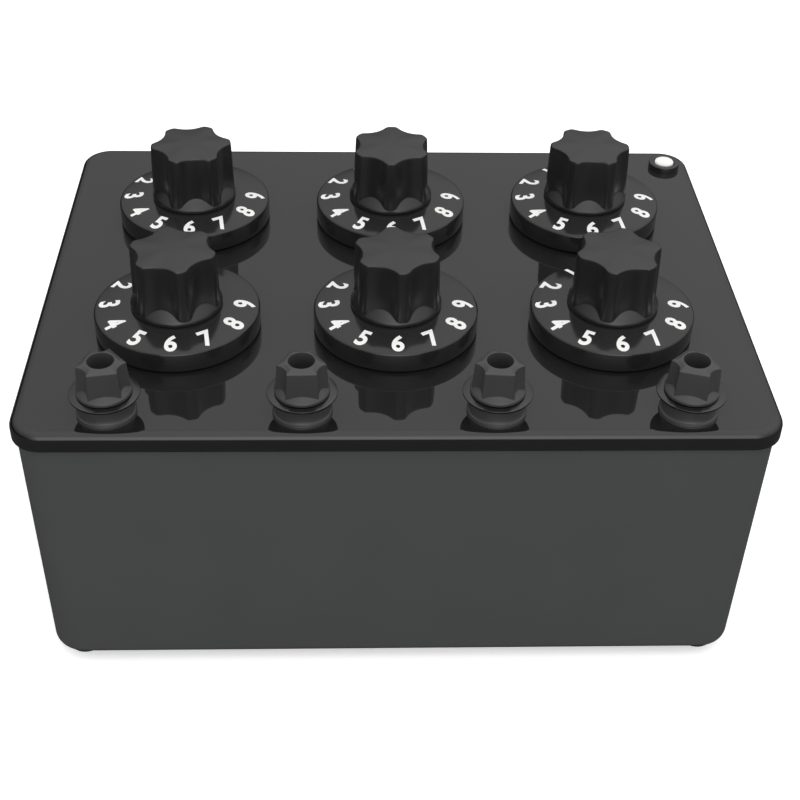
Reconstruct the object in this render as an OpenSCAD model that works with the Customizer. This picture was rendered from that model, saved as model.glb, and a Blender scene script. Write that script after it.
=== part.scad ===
// Decade resistance box: six rotary switches with numbered dials on a glossy panel,
// four binding posts along the front edge, and the switch decks, resistors and wiring
// inside a moulded case. X runs to the right, Y to the back and Z up, in millimetres.
// The origin is at the middle of the surface that the feet stand on.

/* [Panel] */
// Thickness of the panel
panel_t = 6; // [5.5:0.5:8]
// Radius of the panel's corners, seen from above
panel_corner_r = 10; // [8:0.5:12]
// Radius of the rounded top edge
panel_edge_r = 2.5; // [1:0.25:2.5]
// How far the panel stands out past the case on each side
panel_overhang = 1; // [0.5:0.1:1.5]
// Height of the lip that drops inside the case
lip_h = 3; // [2:0.5:5]
// Thickness of that lip
lip_t = 1.2; // [1:0.1:1.5]

/* [Case] */
// Height of the case, from its floor's underside to its rim
case_h = 88.8; // [80:0.1:110]
// Thickness of the case walls
case_wall = 2.8; // [2.4:0.1:3.2]
// Thickness of the case floor
case_floor = 3.2; // [2.4:0.1:5]
// How far each wall leans inwards from rim to floor
case_draft = 1.1; // [0.5:0.1:2]
// Radius of the case's upright corners at the rim
case_corner_r = 11; // [10.5:0.5:13]
// Radius that rounds the case's bottom edge
case_fillet_r = 4; // [2:0.5:4.5]

/* [Feet and fastening] */
// Radius of a foot
foot_r = 5.9; // [5:0.1:6.4]
// How far the feet hold the case off the table
foot_stand = 3.5; // [3:0.1:6]
// Depth of the seat for each foot in the case floor
foot_seat = 0.8; // [0.4:0.1:1.2]
// Radius of a case screw's shank
case_screw_r = 1.95; // [1.45:0.05:2.2]
// Radius of a case screw's head
case_screw_head_r = 3.5; // [3:0.1:4]
// Height of a case screw's head
case_screw_head_h = 2.2; // [1.6:0.1:2.6]
// Radius of the pillars between floor and panel
pillar_r = 4; // [3.6:0.1:5]
// Depth of a pillar's threaded end
pillar_bore_l = 10; // [8:1:20]

/* [Layout of dials and posts] */
// Distance from one column of dials to the next
dial_pitch = 69.3; // [64:0.1:80]
// Distance from the outer columns of dials to the panel's left and right edges
dial_side_margin = 45.7; // [43:0.1:55]
// Distance from the front row of dials to the back row
dial_row_pitch = 68.1; // [64:0.1:80]
// Distance from the back row of dials to the panel's back edge
dial_back_margin = 49.9; // [46:0.1:60]
// Distance from the front row of dials to the panel's front edge
dial_front_margin = 56; // [50:0.1:66]
// Distance from the outer binding posts to the panel's left and right edges
post_side_margin = 28.5; // [22:0.1:32]
// Distance from the panel's front edge to the posts
post_inset = 11.5; // [11.2:0.1:14]

/* [Dials] */
// Radius of a dial
dial_r = 26.2; // [24:0.1:28]
// Height of a dial's upright rim
dial_rim_h = 6.7; // [6:0.1:8]
// How much a dial's face rises from its rim to the knob's seat
dial_rise = 1.5; // [1:0.1:2.5]
// Radius of the flat seat under the knob
dial_seat_r = 15; // [14.6:0.1:16]
// Thickness of a dial's skirt wall
dial_wall = 3.4; // [2.5:0.1:4]
// Height of the hollow under a dial
dial_hollow_h = 4.6; // [3.6:0.1:5.4]
// Running gap between a dial and the panel
dial_gap = 0.5; // [0.4:0.1:1]

/* [Knobs] */
// Radius of a knob across its lobes, at the top
knob_r = 13.7; // [12.4:0.1:14]
// Radius of a knob's round base flange
knob_flange_r = 14.5; // [14.2:0.1:14.7]
// Height of that flange
knob_flange_h = 1.5; // [1.2:0.1:2.4]
// Height of the sloping foot between flange and flutes
knob_foot_h = 3.3; // [2:0.1:4.5]
// Height of a knob above its dial, up to its crown's edge
knob_h = 20; // [17:0.1:24]
// How much the crown is domed
knob_crown = 0.7; // [0.3:0.1:1.5]
// Number of flutes round a knob
knob_flutes = 6; // [5:1:7]
// Depth of a flute
knob_flute_depth = 2.6; // [1.5:0.1:3]
// Angle that one flute takes of the knob's round
knob_flute_span = 44; // [36:1:46]
// Radius of the knob's set screw
set_screw_r = 1.5; // [1.2:0.1:2]
// Length of the set screw
set_screw_l = 6; // [5:0.5:7]

/* [Rotary switches] */
// Radius of a switch shaft
shaft_r = 3; // [2.6:0.1:3.2]
// Radius of the threaded bush round the shaft
bush_r = 4.5; // [4.2:0.1:4.8]
// Thickness of the frame plate
frame_plate_t = 2; // [1.5:0.1:3]
// Length of the stand-offs between frame plate and deck
stand_off_l = 13.5; // [13:0.5:20]
// Radius of the stand-offs
stand_off_r = 2.2; // [1.8:0.1:2.4]
// Thickness of the insulating deck
deck_t = 2; // [1.6:0.1:3]
// Radius of the ring of contacts
contact_ring_r = 13.8; // [13.4:0.1:14]
// Radius of a contact's head
contact_head_r = 2; // [1.6:0.1:2.2]
// Positions of a switch, one for each digit
positions = 10; // [6:1:10]
// Angle from one position to the next
step_angle = 30; // [24:1:30]
// Radius of the notched detent wheel
detent_r = 9; // [8:0.1:9.5]
// Thickness of the detent wheel
detent_t = 2.4; // [2:0.1:3]
// Radius of a resistor's bobbin
bobbin_r = 2.6; // [2:0.1:3]
// Length of a resistor's bobbin
bobbin_l = 9; // [6:0.5:14]

/* [Binding posts] */
// Radius of a post's metal stud
stud_r = 3; // [2.9:0.1:3.2]
// Radius of the plug socket in the stud's end
socket_r = 2; // [1.8:0.1:2.1]
// Depth of the plug socket
socket_l = 14; // [10:0.5:16]
// Radius of the collar's rim on the panel
collar_r = 8.9; // [8.5:0.1:9]
// Height of the collar
collar_h = 7; // [5:0.1:8]
// Radius of the clamp washer
washer_r = 10.45; // [10:0.05:11]
// Thickness of the clamp washer
washer_t = 0.6; // [0.5:0.1:1]
// Radius of a cap at its skirt
cap_r = 8.3; // [8:0.1:8.6]
// Radius of a cap across its lobes, at the top
cap_top_r = 7.2; // [6.9:0.1:7.6]
// Height of a cap
cap_h = 11.3; // [10.5:0.1:15]
// Height of the sloping foot under a cap's flutes
cap_foot_h = 1.6; // [1:0.1:2.5]
// Radius of the mouth in a cap's top
cap_mouth_r = 4; // [3.6:0.1:4.1]
// Thread left in a cap at the end of its travel
cap_bite = 2.1; // [1.5:0.1:3]
// Number of flutes round a cap
cap_flutes = 4; // [3:1:6]
// Depth of a cap's flute
cap_flute_depth = 1.3; // [0.8:0.1:1.6]
// How far a cap unscrews
cap_travel = 3; // [2:0.5:3.5]

/* [Seal] */
// Distance from the panel's right edge to the seal
seal_inset_x = 9.5; // [9:0.1:12]
// Distance from the panel's back edge to the seal
seal_inset_y = 12.5; // [11:0.1:14]
// Radius of the cup that holds the sealing compound
seal_cup_r = 5.7; // [5:0.1:6.2]
// Height of the cup above the panel
seal_cup_h = 2.2; // [1.8:0.1:3]
// Radius of the compound's dome
seal_dome_r = 3.5; // [3.2:0.1:3.8]

/* [Hidden] */
$fn = 72;
// Facets of a rounded corner's full circle, and of small round pieces
hull_fn = 32;
small_fn = 24;
// Steps in a small rounded edge
edge_steps = 4;
// How far a cut runs past the face that it leaves
over = 1;

// Clearances
// Running fit of shaft in bush, and of stud in cap
running_gap = 0.06;
// A screw or stud through a plain hole
hole_gap = 0.1;
// Gap round a piece that drops into another
seat_gap = 0.3;
// Gap between a wiper's blade and the contacts
blade_gap = 0.1;

// How many dials and posts there are
columns = 3;
rows = 2;
switches = columns * rows;
posts = 4;

// Outline of the panel, and where the dials' rows and the posts lie on it
panel_w = (columns - 1) * dial_pitch + 2 * dial_side_margin;
panel_d = dial_back_margin + (rows - 1) * dial_row_pitch + dial_front_margin;
back_row_y = panel_d / 2 - dial_back_margin;
post_pitch = (panel_w - 2 * post_side_margin) / (posts - 1);
post_y = -panel_d / 2 + post_inset;

// Heights
case_bottom_z = foot_stand;
panel_bottom_z = case_bottom_z + case_h;
panel_z = panel_bottom_z + panel_t;
floor_z = case_bottom_z + case_floor;
dial_z = panel_z + dial_gap;
dial_rim_z = dial_z + dial_rim_h;
seat_z = dial_rim_z + dial_rise;
dial_hollow_z = dial_z + dial_hollow_h;
crown_z = seat_z + knob_h;
plate_z = panel_bottom_z - frame_plate_t;
deck_z = plate_z - stand_off_l;
deck_bottom_z = deck_z - deck_t;
washer_z = panel_z + collar_h;
cap_z = washer_z + washer_t;
cap_top_z = cap_z + cap_h;
stud_top_z = cap_z + cap_travel + cap_bite;

// Case outline
case_w = panel_w - 2 * panel_overhang;
case_d = panel_d - 2 * panel_overhang;
corner_x = case_w / 2 - case_corner_r;
corner_y = case_d / 2 - case_corner_r;
case_foot_corner_r = case_corner_r - case_draft;
// Size of the bosses inside the case floor, and the hole that a case screw passes
boss_r = pillar_r + 2 * seat_gap;
boss_h = 4;
screw_hole_r = case_screw_r + hole_gap;
// Spigot on a pillar's top end, held in the panel
spigot_r = 2;
spigot_l = panel_t / 2 - seat_gap;
pillar_z = floor_z + boss_h;
// Share of the pillar's thread that the case screw fills
case_screw_share = 0.7;
case_screw_l = foot_stand - case_screw_head_h + case_floor + boss_h + pillar_bore_l * case_screw_share;
case_screw_slot_w = 0.9;

// Dial and knob
dial_edge_r = 0.5;
knob_edge_r = 1.1;
// How far the lobes stand back from the flange's rim
knob_lobe_step = 0.35;
knob_lobe_r = knob_flange_r - knob_lobe_step;
// The knob's neck goes through the dial, and the shaft ends under the knob's roof
neck_r = 6.9;
neck_z = dial_hollow_z + seat_gap;
knob_roof = 5;
shaft_top_z = crown_z - knob_roof;
flat_depth = 0.5;
set_screw_share = 0.42;
set_screw_z = seat_z + knob_h * set_screw_share;
set_socket_share = 0.6;
hex_sides = 6;
// How far round each knob stands on its shaft
knob_turns = [-22, -2, 28, 16, 7, -17];

// Switch
bush_top_gap = 0.5;
bush_top_z = dial_hollow_z - bush_top_gap;
switch_nut_r = 7.2;
switch_nut_h = 2.2;
// The stand-offs pass beside the contacts, and the frame plate and the deck reach past them
stand_off_gap = 0.4;
stand_off_margin = 0.4;
stand_off_x = contact_ring_r + contact_head_r + stand_off_gap + stand_off_r;
frame_plate_r = stand_off_x + stand_off_r + stand_off_margin;
rivet_r = 1.2;
contact_head_h = 1;
contact_shank_r = 1.2;
contact_tail_l = 2.6;
collector_r = 8.4;
collector_bore_r = 6.2;
blade_z = deck_z + contact_head_h + blade_gap;
blade_t = 0.6;
blade_w = 4.4;
hub_r = 5;
hub_h = 4;
shaft_tail_l = 2;
shaft_bottom_z = deck_bottom_z - shaft_tail_l;
deck_bore_gap = 0.5;
notches = floor(360 / step_angle);
notch_r = 1.5;
detent_top_z = plate_z - seat_gap;
nose_r = 1.2;
leaf_l = 17;
leaf_t = 0.5;
leaf_post_r = 1.3;
// How far the bobbins stand out from the ring of contacts
bobbin_offset = 2.9;
bobbin_ring_r = contact_ring_r + bobbin_offset;
bobbin_core_share = 0.72;
bobbin_flange_t = 1;
lead_r = 0.3;
wire_r = 0.6;
// Radius of the sleeve at a wire's bend, as a share of the wire's
sleeve_share = 1.6;
// How far from a bend a length of wire ends in the sleeve, as a share of the sleeve's radius
sleeve_reach_share = 0.8;
wire_z = deck_bottom_z - contact_tail_l - hole_gap - 3 * wire_r;
// Length of the straight run in which the wires of the posts reach the contacts
wire_run_l = 10;
// Switch and contact that each post's wire goes to
post_switch = [4, 5, 5, 6];
post_contact = [6, 7, 5, 6];

// Post
collar_rim_h = 1.3;
collar_waist_r = 8.1;
// Height over which the collar draws in from its rim to its waist
collar_flare_h = 1.8;
collar_top_r = 7.6;
// Sweeps of the rounded edges where a sloping face goes on from them
edge_sweep = 80;
crown_sweep = 70;
collar_neck_r = 5;
stud_hole_r = stud_r + hole_gap;
// The backings reach as far as the panel's lip lets them
backing_r = post_inset - panel_overhang - case_wall - lip_t - 2 * seat_gap;
backing_h = 4;
post_nut_r = 5.6;
post_nut_h = 3;
lug_r = 4.8;
lug_t = 0.8;
lug_l = 12;
lug_w = 3.2;
cap_skirt_h = 1.1;
cap_edge_r = 0.5;
cap_flute_span = 33;
// How far round each cap stands when it is screwed down
cap_turns = [10, 2, -3, -17];
backing_z = panel_bottom_z - backing_h;
lug_z = backing_z - post_nut_h - lug_t;
stud_tail_l = 1;
stud_bottom_z = lug_z - post_nut_h - stud_tail_l;

// Seal
seal_x = panel_w / 2 - seal_inset_x;
seal_y = panel_d / 2 - seal_inset_y;
seal_seat = 0.6;
seal_floor = 0.6;
seal_wall = 1.9;
seal_dome_h = 1;
seal_screw_r = 1.2;
seal_screw_head_r = 2.4;
seal_screw_head_h = 0.9;
seal_screw_l = 1.6;

function switch_x(i) = ((i - 1) % columns - (columns - 1) / 2) * dial_pitch;
function switch_y(i) = back_row_y - floor((i - 1) / columns) * dial_row_pitch;
function post_x(i) = (i - (posts + 1) / 2) * post_pitch;
// Direction of contact k, seen from above: position 0 is at the back, and the rest follow clockwise
function contact_angle(k) = 90 - k * step_angle;
function polar(r, a) = [r * cos(a), r * sin(a)];
// Radius of a flute that takes the angle span of a circle of radius r and is depth deep
function flute_r(r, depth, span) =
    let (dx = r * cos(span / 2) - (r - depth), dy = r * sin(span / 2))
    (dx * dx + dy * dy) / (2 * dx);
// Points of a rounded edge about [x, z], from angle a0 to angle a1
function edge(x, z, r, a0, a1) =
    [for (s = [0:edge_steps]) [x, z] + polar(r, a0 + (a1 - a0) * s / edge_steps)];

// Places and shared shapes

module at_corners(x, y) {
    for (sx = [-1, 1], sy = [-1, 1]) translate([sx * x, sy * y, 0]) children();
}

module at_switch(i) {
    translate([switch_x(i), switch_y(i), 0]) children();
}

module at_post(i) {
    translate([post_x(i), post_y, 0]) children();
}

module rod(p, q, r) {
    d = q - p;
    l = norm(d);
    translate(p)
        rotate([0, acos(d[2] / l), atan2(d[1], d[0])])
            cylinder(r = r, h = l, $fn = small_fn);
}

module ring(r, bore_r, h) {
    difference() {
        cylinder(r = r, h = h);
        translate([0, 0, -over]) cylinder(r = bore_r, h = h + 2 * over);
    }
}

module nut(r, bore_r, h) {
    difference() {
        cylinder(r = r, h = h, $fn = hex_sides);
        translate([0, 0, -over]) cylinder(r = bore_r, h = h + 2 * over);
    }
}

// Stiff wire from point to point, in lengths that a soldered sleeve joins at each bend
module wire(points, r) {
    last = len(points) - 1;
    sleeve_r = r * sleeve_share;
    for (k = [1:last]) {
        p = points[k - 1];
        q = points[k];
        stand_off = (q - p) / norm(q - p) * sleeve_r * sleeve_reach_share;
        rod(k > 1 ? p + stand_off : p, k < last ? q - stand_off : q, r);
    }
    for (k = [1:last - 1])
        translate(points[k] - [0, 0, sleeve_r]) cylinder(r = sleeve_r, h = 2 * sleeve_r, $fn = small_fn);
}

// Flat plate with rounded corners, for rings and lips
module rounded_plate(w, d, r) {
    hull() {
        for (sx = [-1, 1], sy = [-1, 1])
            translate([sx * (w / 2 - r), sy * (d / 2 - r)]) circle(r = r, $fn = hull_fn);
    }
}

// Drafted tub shape: corner cylinders at the top, rounded discs at the bottom
module tub(top_r, bottom_r, fillet, z0, z1) {
    hull() {
        at_corners(corner_x, corner_y) {
            translate([0, 0, z1 - over]) cylinder(r = top_r, h = over, $fn = hull_fn);
            translate([0, 0, z0])
                rotate_extrude($fn = hull_fn)
                    polygon(concat(
                        [[0, 0]], edge(bottom_r - fillet, fillet, fillet, -90, 0), [[0, fillet]]
                    ));
        }
    }
}

// Cutters for the flutes of a grip that widens from top_r to bottom_r between z1 and z0
module flutes(count, top_r, bottom_r, depth, span, z0, z1) {
    r = flute_r(top_r, depth, span);
    for (k = [0:count - 1])
        rotate([0, 0, 90 + (k + 0.5) * 360 / count])
            translate([top_r - depth + r, 0, z1])
                rotate([0, 180 - atan((bottom_r - top_r) / (z1 - z0)), 0])
                    translate([0, 0, -over]) cylinder(r = r, h = z1 - z0 + 2 * over);
}

// Case and what holds it together

module case() {
    color([0.27, 0.28, 0.29])
        difference() {
            union() {
                difference() {
                    tub(case_corner_r, case_foot_corner_r, case_fillet_r, case_bottom_z, panel_bottom_z);
                    translate([0, 0, over])
                        tub(case_corner_r - case_wall, case_foot_corner_r - case_wall, case_wall / 2,
                            floor_z - over, panel_bottom_z + over);
                }
                at_corners(corner_x, corner_y)
                    translate([0, 0, floor_z - case_floor / 2])
                        cylinder(r = boss_r, h = boss_h + case_floor / 2);
            }
            at_corners(corner_x, corner_y) {
                translate([0, 0, case_bottom_z - over])
                    cylinder(r = screw_hole_r, h = case_floor + boss_h + 2 * over);
                translate([0, 0, case_bottom_z - over])
                    cylinder(r = foot_r + hole_gap, h = foot_seat + over);
            }
        }
}

module feet() {
    color([0.12, 0.12, 0.12])
        at_corners(corner_x, corner_y)
            difference() {
                rotate_extrude()
                    polygon(concat(
                        [[0, 0]],
                        edge(foot_r - dial_edge_r, dial_edge_r, dial_edge_r, -90, 0),
                        [[foot_r, foot_stand + foot_seat], [0, foot_stand + foot_seat]]
                    ));
                translate([0, 0, -over])
                    cylinder(r = screw_hole_r, h = foot_stand + foot_seat + 2 * over);
                translate([0, 0, -over])
                    cylinder(r = case_screw_head_r + seat_gap, h = case_screw_head_h + over + seat_gap);
            }
}

module case_screws() {
    color([0.7, 0.7, 0.72])
        at_corners(corner_x, corner_y)
            translate([0, 0, seat_gap])
                difference() {
                    union() {
                        cylinder(r = case_screw_head_r, h = case_screw_head_h);
                        cylinder(r = case_screw_r, h = case_screw_l);
                    }
                    translate([-case_screw_head_r - over, -case_screw_slot_w / 2, -over])
                        cube([2 * (case_screw_head_r + over), case_screw_slot_w,
                              case_screw_head_h / 2 + over]);
                }
}

module panel_pillars() {
    color([0.78, 0.64, 0.35])
        at_corners(corner_x, corner_y)
            difference() {
                translate([0, 0, pillar_z]) {
                    cylinder(r = pillar_r, h = panel_bottom_z - pillar_z);
                    cylinder(r = spigot_r, h = panel_bottom_z - pillar_z + spigot_l);
                }
                translate([0, 0, pillar_z - over])
                    cylinder(r = case_screw_r + hole_gap / 2, h = pillar_bore_l + over);
            }
}

// Panel

module panel_plate() {
    hull()
        at_corners(panel_w / 2 - panel_corner_r, panel_d / 2 - panel_corner_r)
            translate([0, 0, panel_bottom_z])
                rotate_extrude($fn = hull_fn)
                    polygon(concat(
                        [[0, 0], [panel_corner_r, 0]],
                        edge(panel_corner_r - panel_edge_r, panel_t - panel_edge_r, panel_edge_r, 0, 90),
                        [[0, panel_t]]
                    ));
}

module panel_lip() {
    lip_w = case_w - 2 * (case_wall + seat_gap);
    lip_d = case_d - 2 * (case_wall + seat_gap);
    lip_r = case_corner_r - case_wall - seat_gap;
    translate([0, 0, panel_bottom_z - lip_h])
        linear_extrude(height = lip_h + panel_t / 4)
            difference() {
                rounded_plate(lip_w, lip_d, lip_r);
                rounded_plate(lip_w - 2 * lip_t, lip_d - 2 * lip_t, lip_r - lip_t);
            }
}

module panel() {
    color([0.08, 0.08, 0.08])
        difference() {
            union() {
                panel_plate();
                panel_lip();
            }
            translate([0, 0, panel_bottom_z - over]) {
                for (i = [1:switches])
                    at_switch(i) cylinder(r = bush_r + hole_gap, h = panel_t + 2 * over);
                for (i = [1:posts])
                    at_post(i) cylinder(r = collar_neck_r + hole_gap, h = panel_t + 2 * over);
                at_corners(corner_x, corner_y)
                    cylinder(r = spigot_r + hole_gap / 2, h = spigot_l + seat_gap + over);
            }
            translate([seal_x, seal_y, panel_z - seal_seat])
                cylinder(r = seal_cup_r + hole_gap, h = seal_seat + over);
            translate([seal_x, seal_y, panel_z - seal_seat - seal_screw_l])
                cylinder(r = seal_screw_r + hole_gap / 2, h = seal_screw_l + over);
        }
}

// Seal over the adjusting screw in the back right corner

module seal_cup() {
    bore_r = seal_screw_r + hole_gap / 2;
    top = seal_seat + seal_cup_h;
    color([0.15, 0.15, 0.15])
        translate([seal_x, seal_y, panel_z - seal_seat])
            rotate_extrude()
                polygon(concat(
                    [[bore_r, 0], [seal_cup_r, 0]],
                    edge(seal_cup_r - dial_edge_r, top - dial_edge_r, dial_edge_r, 0, 90),
                    [[seal_cup_r - seal_wall, top], [seal_cup_r - seal_wall, seal_floor],
                     [bore_r, seal_floor]]
                ));
}

module seal_screw() {
    color([0.75, 0.75, 0.77])
        translate([seal_x, seal_y, panel_z - seal_seat]) {
            translate([0, 0, seal_floor]) cylinder(r = seal_screw_head_r, h = seal_screw_head_h);
            translate([0, 0, hole_gap - seal_screw_l])
                cylinder(r = seal_screw_r, h = seal_floor + seal_screw_l);
        }
}

module seal_compound() {
    floor_h = seal_floor + seal_screw_head_h;
    top_h = seal_seat + seal_cup_h;
    dome_r = (seal_dome_r * seal_dome_r + seal_dome_h * seal_dome_h) / (2 * seal_dome_h);
    dome_a = asin(seal_dome_r / dome_r);
    color("white")
        translate([seal_x, seal_y, panel_z - seal_seat])
            rotate_extrude()
                polygon(concat(
                    [[0, floor_h], [seal_dome_r, floor_h]],
                    [for (s = [0:edge_steps])
                        [0, top_h + seal_dome_h - dome_r]
                        + polar(dome_r, 90 - dome_a + dome_a * s / edge_steps)]
                ));
}

// Binding posts

module post_collars() {
    neck_z = panel_bottom_z + hole_gap;
    rim_z = panel_z + collar_rim_h - dial_edge_r;
    color([0.1, 0.1, 0.1])
        for (i = [1:posts])
            at_post(i)
                rotate_extrude()
                    polygon(concat(
                        [[stud_hole_r, neck_z], [collar_neck_r, neck_z],
                         [collar_neck_r, panel_z], [collar_r, panel_z]],
                        edge(collar_r - dial_edge_r, rim_z, dial_edge_r, 0, edge_sweep),
                        [[collar_waist_r, rim_z + collar_flare_h],
                         [collar_top_r, washer_z - dial_edge_r], [collar_top_r - dial_edge_r, washer_z],
                         [stud_hole_r, washer_z]]
                    ));
}

module post_backings() {
    color([0.1, 0.1, 0.1])
        for (i = [1:posts])
            at_post(i)
                translate([0, 0, backing_z]) ring(backing_r, stud_hole_r, backing_h);
}

module post_studs() {
    color([0.8, 0.78, 0.7])
        for (i = [1:posts])
            at_post(i)
                difference() {
                    translate([0, 0, stud_bottom_z]) cylinder(r = stud_r, h = stud_top_z - stud_bottom_z);
                    translate([0, 0, stud_top_z - socket_l]) cylinder(r = socket_r, h = socket_l + over);
                }
}

module post_nuts() {
    color([0.8, 0.78, 0.7])
        for (i = [1:posts], z = [backing_z - post_nut_h, lug_z - post_nut_h])
            at_post(i)
                translate([0, 0, z]) nut(post_nut_r, stud_r + hole_gap / 2, post_nut_h);
}

module post_lugs() {
    color([0.82, 0.8, 0.74])
        for (i = [1:posts])
            at_post(i)
                translate([0, 0, lug_z])
                    difference() {
                        union() {
                            cylinder(r = lug_r, h = lug_t);
                            translate([-lug_w / 2, 0, 0]) cube([lug_w, lug_l, lug_t]);
                        }
                        translate([0, 0, -over]) cylinder(r = stud_hole_r, h = lug_t + 2 * over);
                    }
}

module clamp_washer(i) {
    color([0.6, 0.6, 0.6])
        at_post(i)
            translate([0, 0, washer_z]) ring(washer_r, stud_r + seat_gap, washer_t);
}

module post_cap(i) {
    foot_top_z = cap_z + cap_skirt_h + cap_foot_h;
    lobe_z = cap_z + cap_skirt_h / 2;
    color([0.12, 0.12, 0.12])
        at_post(i)
            difference() {
                union() {
                    difference() {
                        rotate_extrude()
                            polygon(concat(
                                [[0, lobe_z], [cap_r, lobe_z]],
                                edge(cap_top_r - cap_edge_r, cap_top_z - cap_edge_r, cap_edge_r, 0, 90),
                                [[0, cap_top_z]]
                            ));
                        rotate([0, 0, cap_turns[i - 1]])
                            flutes(cap_flutes, cap_top_r, cap_r, cap_flute_depth, cap_flute_span,
                                   cap_z, cap_top_z);
                    }
                    rotate_extrude()
                        polygon([
                            [0, cap_z], [cap_r, cap_z], [cap_r, cap_z + cap_skirt_h],
                            [cap_top_r - cap_flute_depth, foot_top_z], [0, foot_top_z]
                        ]);
                }
                translate([0, 0, cap_z - over]) cylinder(r = stud_r + running_gap, h = cap_h);
                translate([0, 0, stud_top_z]) cylinder(r = cap_mouth_r, h = cap_top_z - stud_top_z + over);
            }
}

// Rotary switches, fixed pieces

module switch_frames() {
    color([0.75, 0.75, 0.77])
        for (i = [1:switches])
            at_switch(i)
                difference() {
                    union() {
                        translate([0, 0, plate_z]) {
                            cylinder(r = frame_plate_r, h = frame_plate_t);
                            cylinder(r = bush_r, h = bush_top_z - plate_z);
                        }
                        for (s = [-1, 1])
                            translate([s * stand_off_x, 0, deck_z]) {
                                cylinder(r = stand_off_r, h = stand_off_l + frame_plate_t / 2);
                                translate([0, 0, -deck_t - rivet_r])
                                    cylinder(r = rivet_r, h = deck_t + 2 * rivet_r);
                            }
                    }
                    translate([0, 0, plate_z - over])
                        cylinder(r = shaft_r + running_gap, h = bush_top_z - plate_z + 2 * over);
                }
}

module switch_nuts() {
    color([0.75, 0.75, 0.77])
        for (i = [1:switches])
            at_switch(i)
                translate([0, 0, panel_z]) nut(switch_nut_r, bush_r + hole_gap / 2, switch_nut_h);
}

module switch_decks() {
    cut_h = deck_t + 2 * over;
    color([0.45, 0.3, 0.16])
        for (i = [1:switches])
            at_switch(i)
                difference() {
                    translate([0, 0, deck_bottom_z]) cylinder(r = frame_plate_r, h = deck_t);
                    translate([0, 0, deck_bottom_z - over]) {
                        cylinder(r = shaft_r + deck_bore_gap, h = cut_h);
                        for (s = [-1, 1])
                            translate([s * stand_off_x, 0, 0])
                                cylinder(r = rivet_r + hole_gap / 2, h = cut_h);
                        for (k = [0:positions - 1])
                            translate(polar(contact_ring_r, contact_angle(k)))
                                cylinder(r = contact_shank_r + hole_gap / 2, h = cut_h, $fn = small_fn);
                    }
                }
}

module contact_studs() {
    shank_h = deck_t + contact_tail_l + contact_head_h;
    color([0.85, 0.7, 0.4])
        for (i = [1:switches])
            at_switch(i) {
                translate([0, 0, deck_z]) ring(collector_r, collector_bore_r, contact_head_h);
                for (k = [0:positions - 1])
                    translate(polar(contact_ring_r, contact_angle(k))) {
                        translate([0, 0, deck_z])
                            cylinder(r = contact_head_r, h = contact_head_h, $fn = hull_fn);
                        translate([0, 0, deck_bottom_z - contact_tail_l])
                            cylinder(r = contact_shank_r, h = shank_h, $fn = small_fn);
                    }
            }
}

module resistors() {
    lead_z = deck_bottom_z - bobbin_flange_t / 2;
    color([0.5, 0.2, 0.12])
        for (i = [1:switches], k = [0:positions - 2])
            at_switch(i) {
                mid = polar(bobbin_ring_r, contact_angle(k + 0.5));
                translate([mid[0], mid[1], deck_bottom_z - bobbin_l])
                    rotate_extrude($fn = hull_fn)
                        polygon([
                            [0, 0], [bobbin_r, 0], [bobbin_r, bobbin_flange_t],
                            [bobbin_r * bobbin_core_share, bobbin_flange_t],
                            [bobbin_r * bobbin_core_share, bobbin_l - bobbin_flange_t],
                            [bobbin_r, bobbin_l - bobbin_flange_t], [bobbin_r, bobbin_l], [0, bobbin_l]
                        ]);
                for (j = [k, k + 1]) {
                    tail = polar(contact_ring_r, contact_angle(j));
                    reach = 1 - (contact_shank_r + hole_gap) / norm(tail - mid);
                    end = mid + (tail - mid) * reach;
                    rod([mid[0], mid[1], lead_z], [end[0], end[1], lead_z], lead_r);
                }
            }
}

module detent_springs() {
    nose_y = detent_r + seat_gap + nose_r;
    leaf_y = nose_y + nose_r / 2;
    color([0.8, 0.8, 0.82])
        for (i = [1:switches])
            at_switch(i)
                translate([0, 0, detent_top_z - detent_t]) {
                    translate([0, nose_y, 0]) cylinder(r = nose_r, h = detent_t, $fn = hull_fn);
                    translate([-leaf_l / 2, leaf_y, 0]) cube([leaf_l, leaf_t, detent_t]);
                    for (s = [-1, 1])
                        translate([s * leaf_l / 2, leaf_y + leaf_t / 2, 0])
                            cylinder(r = leaf_post_r, h = detent_t + seat_gap, $fn = hull_fn);
                }
}

module link_wires() {
    lug_end = lug_l - lug_w / 2;
    tail_z = deck_bottom_z - contact_tail_l - hole_gap;
    color([0.85, 0.83, 0.78]) {
        for (i = [1:posts]) {
            s = post_switch[i - 1];
            a = contact_angle(post_contact[i - 1]);
            centre = [switch_x(s), switch_y(s)];
            outer = centre + polar(contact_ring_r + wire_run_l, a);
            inner = centre + polar(contact_ring_r, a);
            wire([
                [post_x(i), post_y + lug_end, lug_z],
                [post_x(i), post_y + lug_end, wire_z],
                [outer[0], outer[1], wire_z],
                [inner[0], inner[1], wire_z],
                [inner[0], inner[1], tail_z]
            ], wire_r);
        }
        for (i = [1, 2, 4, 5])
            wire([
                [switch_x(i) + contact_ring_r, switch_y(i), tail_z],
                [switch_x(i) + contact_ring_r, switch_y(i), wire_z],
                [switch_x(i + 1) - contact_ring_r, switch_y(i), wire_z],
                [switch_x(i + 1) - contact_ring_r, switch_y(i), tail_z]
            ], wire_r);
        wire([
            [switch_x(1), switch_y(1) - contact_ring_r, tail_z],
            [switch_x(1), switch_y(1) - contact_ring_r, wire_z],
            [switch_x(4), switch_y(4) + contact_ring_r, wire_z],
            [switch_x(4), switch_y(4) + contact_ring_r, tail_z]
        ], wire_r);
    }
}

// Rotary switches, moving pieces

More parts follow.
